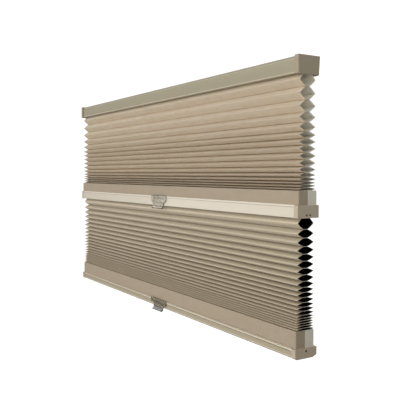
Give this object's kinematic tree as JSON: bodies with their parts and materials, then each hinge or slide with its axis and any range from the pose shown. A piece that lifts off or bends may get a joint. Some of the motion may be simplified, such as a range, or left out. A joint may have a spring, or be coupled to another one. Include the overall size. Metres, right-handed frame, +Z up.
{
  "type": "cellular blind",
  "caption": "Cordless day-and-night honeycomb blind: a headrail, two sprung rails with clear pulls and two cellular fabrics that gather as the rails rise.",
  "frame": {"origin": "middle of the headrail, level with the top of its end caps and of the brackets, where it meets the ceiling", "axes": "+X along the rails, -Y towards the room, +Z up"},
  "size_m": [1.14, 0.0629, 0.606],
  "materials": {
    "headrail_channel": "champagne satin powder coat",
    "middle_rail": "champagne gloss coat",
    "bottom_rail": "champagne gloss coat",
    "headrail_caps": "moulded plastic in the rail's colour",
    "rail_caps": "moulded plastic in the rail's colour",
    "clear_handle": "clear moulded plastic",
    "upper_fabric": "light-filtering spunbond, tan outside and white behind",
    "lower_fabric": "room-darkening spunbond with a black film inside",
    "wrap_front": "tan spunbond glued to the box",
    "wrap_back": "white spunbond glued to the box",
    "lift_cord": "braided polyester",
    "grommet": "brass",
    "fabric_strip": "extruded PVC",
    "bracket": "zinc-plated sheet steel",
    "ballast": "bare steel bar",
    "spring_box": "extruded PVC",
    "spring_steel": "rolled spring steel strip",
    "screw": "plated steel",
    "motor_case": "moulded white acetal",
    "rotor": "moulded white acetal",
    "cord_guide": "moulded white acetal"
  },
  "bodies": {
    "headrail": {"bracket_left": "bracket", "bracket_right": "bracket", "head_cord_grommets": "grommet", "head_fabric_strip": "fabric_strip", "headrail_cap_left": "headrail_caps", "headrail_cap_right": "headrail_caps", "headrail_channel": "headrail_channel", "upper_fabric": "upper_fabric", "upper_lift_cord_left": "lift_cord", "upper_lift_cord_right": "lift_cord"},
    "middle_rail": {"middle_box_ends": "spring_box", "middle_cap_left": "rail_caps", "middle_cap_right": "rail_caps", "middle_cord_grommets": "grommet", "middle_cord_guides": "cord_guide", "middle_cord_runs": "lift_cord", "middle_fabric_strip": "fabric_strip", "middle_handle": "clear_handle", "middle_motor_case": "motor_case", "middle_motor_cover": "motor_case", "middle_motor_screws": "screw", "middle_motor_spring": "spring_steel", "middle_rail": "middle_rail", "middle_spring_box": "spring_box", "middle_wrap_back": "wrap_back", "middle_wrap_front": "wrap_front", "lower_fabric": "lower_fabric", "lower_lift_cord_left": "lift_cord", "lower_lift_cord_right": "lift_cord"},
    "middle_storage_drum": {"middle_storage_drum": "rotor"},
    "middle_output_drum": {"middle_output_drum": "rotor"},
    "middle_spool_left": {"middle_spool_left": "rotor", "middle_cord_winding_left": "lift_cord"},
    "middle_spool_right": {"middle_spool_right": "rotor", "middle_cord_winding_right": "lift_cord"},
    "bottom_rail": {"bottom_ballast_bar": "ballast", "bottom_box_ends": "spring_box", "bottom_cap_left": "rail_caps", "bottom_cap_right": "rail_caps", "bottom_cord_guides": "cord_guide", "bottom_cord_runs": "lift_cord", "bottom_handle": "clear_handle", "bottom_motor_case": "motor_case", "bottom_motor_cover": "motor_case", "bottom_motor_screws": "screw", "bottom_motor_spring": "spring_steel", "bottom_rail": "bottom_rail", "bottom_spring_box": "spring_box", "bottom_wrap_back": "wrap_back", "bottom_wrap_front": "wrap_front"},
    "bottom_storage_drum": {"bottom_storage_drum": "rotor"},
    "bottom_output_drum": {"bottom_output_drum": "rotor"},
    "bottom_spool_left": {"bottom_spool_left": "rotor", "bottom_cord_winding_left": "lift_cord"},
    "bottom_spool_right": {"bottom_spool_right": "rotor", "bottom_cord_winding_right": "lift_cord"}
  },
  "joints": [
    {"name": "middle_rail_lift", "type": "slide", "parent": "headrail", "child": "middle_rail", "axis": [0, 0, 1], "range_m": [-0.162, 0.198], "deforming": ["upper_fabric", "upper_lift_cord_left", "upper_lift_cord_right"]},
    {"name": "middle_storage_drum_turn", "type": "hinge", "parent": "middle_rail", "child": "middle_storage_drum", "pos_m": [-0.05075, 0, -0.282], "axis": [0, 0, 1], "range_deg": [-1061.24, 868.47]},
    {"name": "middle_output_drum_turn", "type": "hinge", "parent": "middle_rail", "child": "middle_output_drum", "pos_m": [-0.0167, 0, -0.282], "axis": [0, 0, 1], "range_deg": [-1061.24, 868.47]},
    {"name": "middle_spool_left_turn", "type": "hinge", "parent": "middle_rail", "child": "middle_spool_left", "pos_m": [0.0164, 0, -0.282], "axis": [0, 0, 1], "range_deg": [-868.47, 1061.24]},
    {"name": "middle_spool_right_turn", "type": "hinge", "parent": "middle_rail", "child": "middle_spool_right", "pos_m": [0.0495, 0, -0.282], "axis": [0, 0, 1], "range_deg": [-1061.24, 868.47]},
    {"name": "bottom_rail_lift", "type": "slide", "parent": "middle_rail", "child": "bottom_rail", "axis": [0, 0, 1], "range_m": [-0.291, 0.182], "deforming": ["lower_fabric", "lower_lift_cord_left", "lower_lift_cord_right"]},
    {"name": "bottom_storage_drum_turn", "type": "hinge", "parent": "bottom_rail", "child": "bottom_storage_drum", "pos_m": [-0.05075, 0, -0.566], "axis": [0, 0, 1], "range_deg": [-975.56, 1559.23]},
    {"name": "bottom_output_drum_turn", "type": "hinge", "parent": "bottom_rail", "child": "bottom_output_drum", "pos_m": [-0.0167, 0, -0.566], "axis": [0, 0, 1], "range_deg": [-975.56, 1559.23]},
    {"name": "bottom_spool_left_turn", "type": "hinge", "parent": "bottom_rail", "child": "bottom_spool_left", "pos_m": [0.0164, 0, -0.566], "axis": [0, 0, 1], "range_deg": [-1559.23, 975.56]},
    {"name": "bottom_spool_right_turn", "type": "hinge", "parent": "bottom_rail", "child": "bottom_spool_right", "pos_m": [0.0495, 0, -0.566], "axis": [0, 0, 1], "range_deg": [-975.56, 1559.23]}
  ],
  "couplings": [
    {"joint": "middle_storage_drum_turn", "follows": "middle_rail_lift", "rad_per_m": -93.458},
    {"joint": "middle_output_drum_turn", "follows": "middle_rail_lift", "rad_per_m": -93.458},
    {"joint": "middle_spool_left_turn", "follows": "middle_rail_lift", "rad_per_m": 93.458},
    {"joint": "middle_spool_right_turn", "follows": "middle_rail_lift", "rad_per_m": -93.458},
    {"joint": "bottom_storage_drum_turn", "follows": "bottom_rail_lift", "rad_per_m": -93.458},
    {"joint": "bottom_output_drum_turn", "follows": "bottom_rail_lift", "rad_per_m": -93.458},
    {"joint": "bottom_spool_left_turn", "follows": "bottom_rail_lift", "rad_per_m": 93.458},
    {"joint": "bottom_spool_right_turn", "follows": "bottom_rail_lift", "rad_per_m": -93.458}
  ]
}
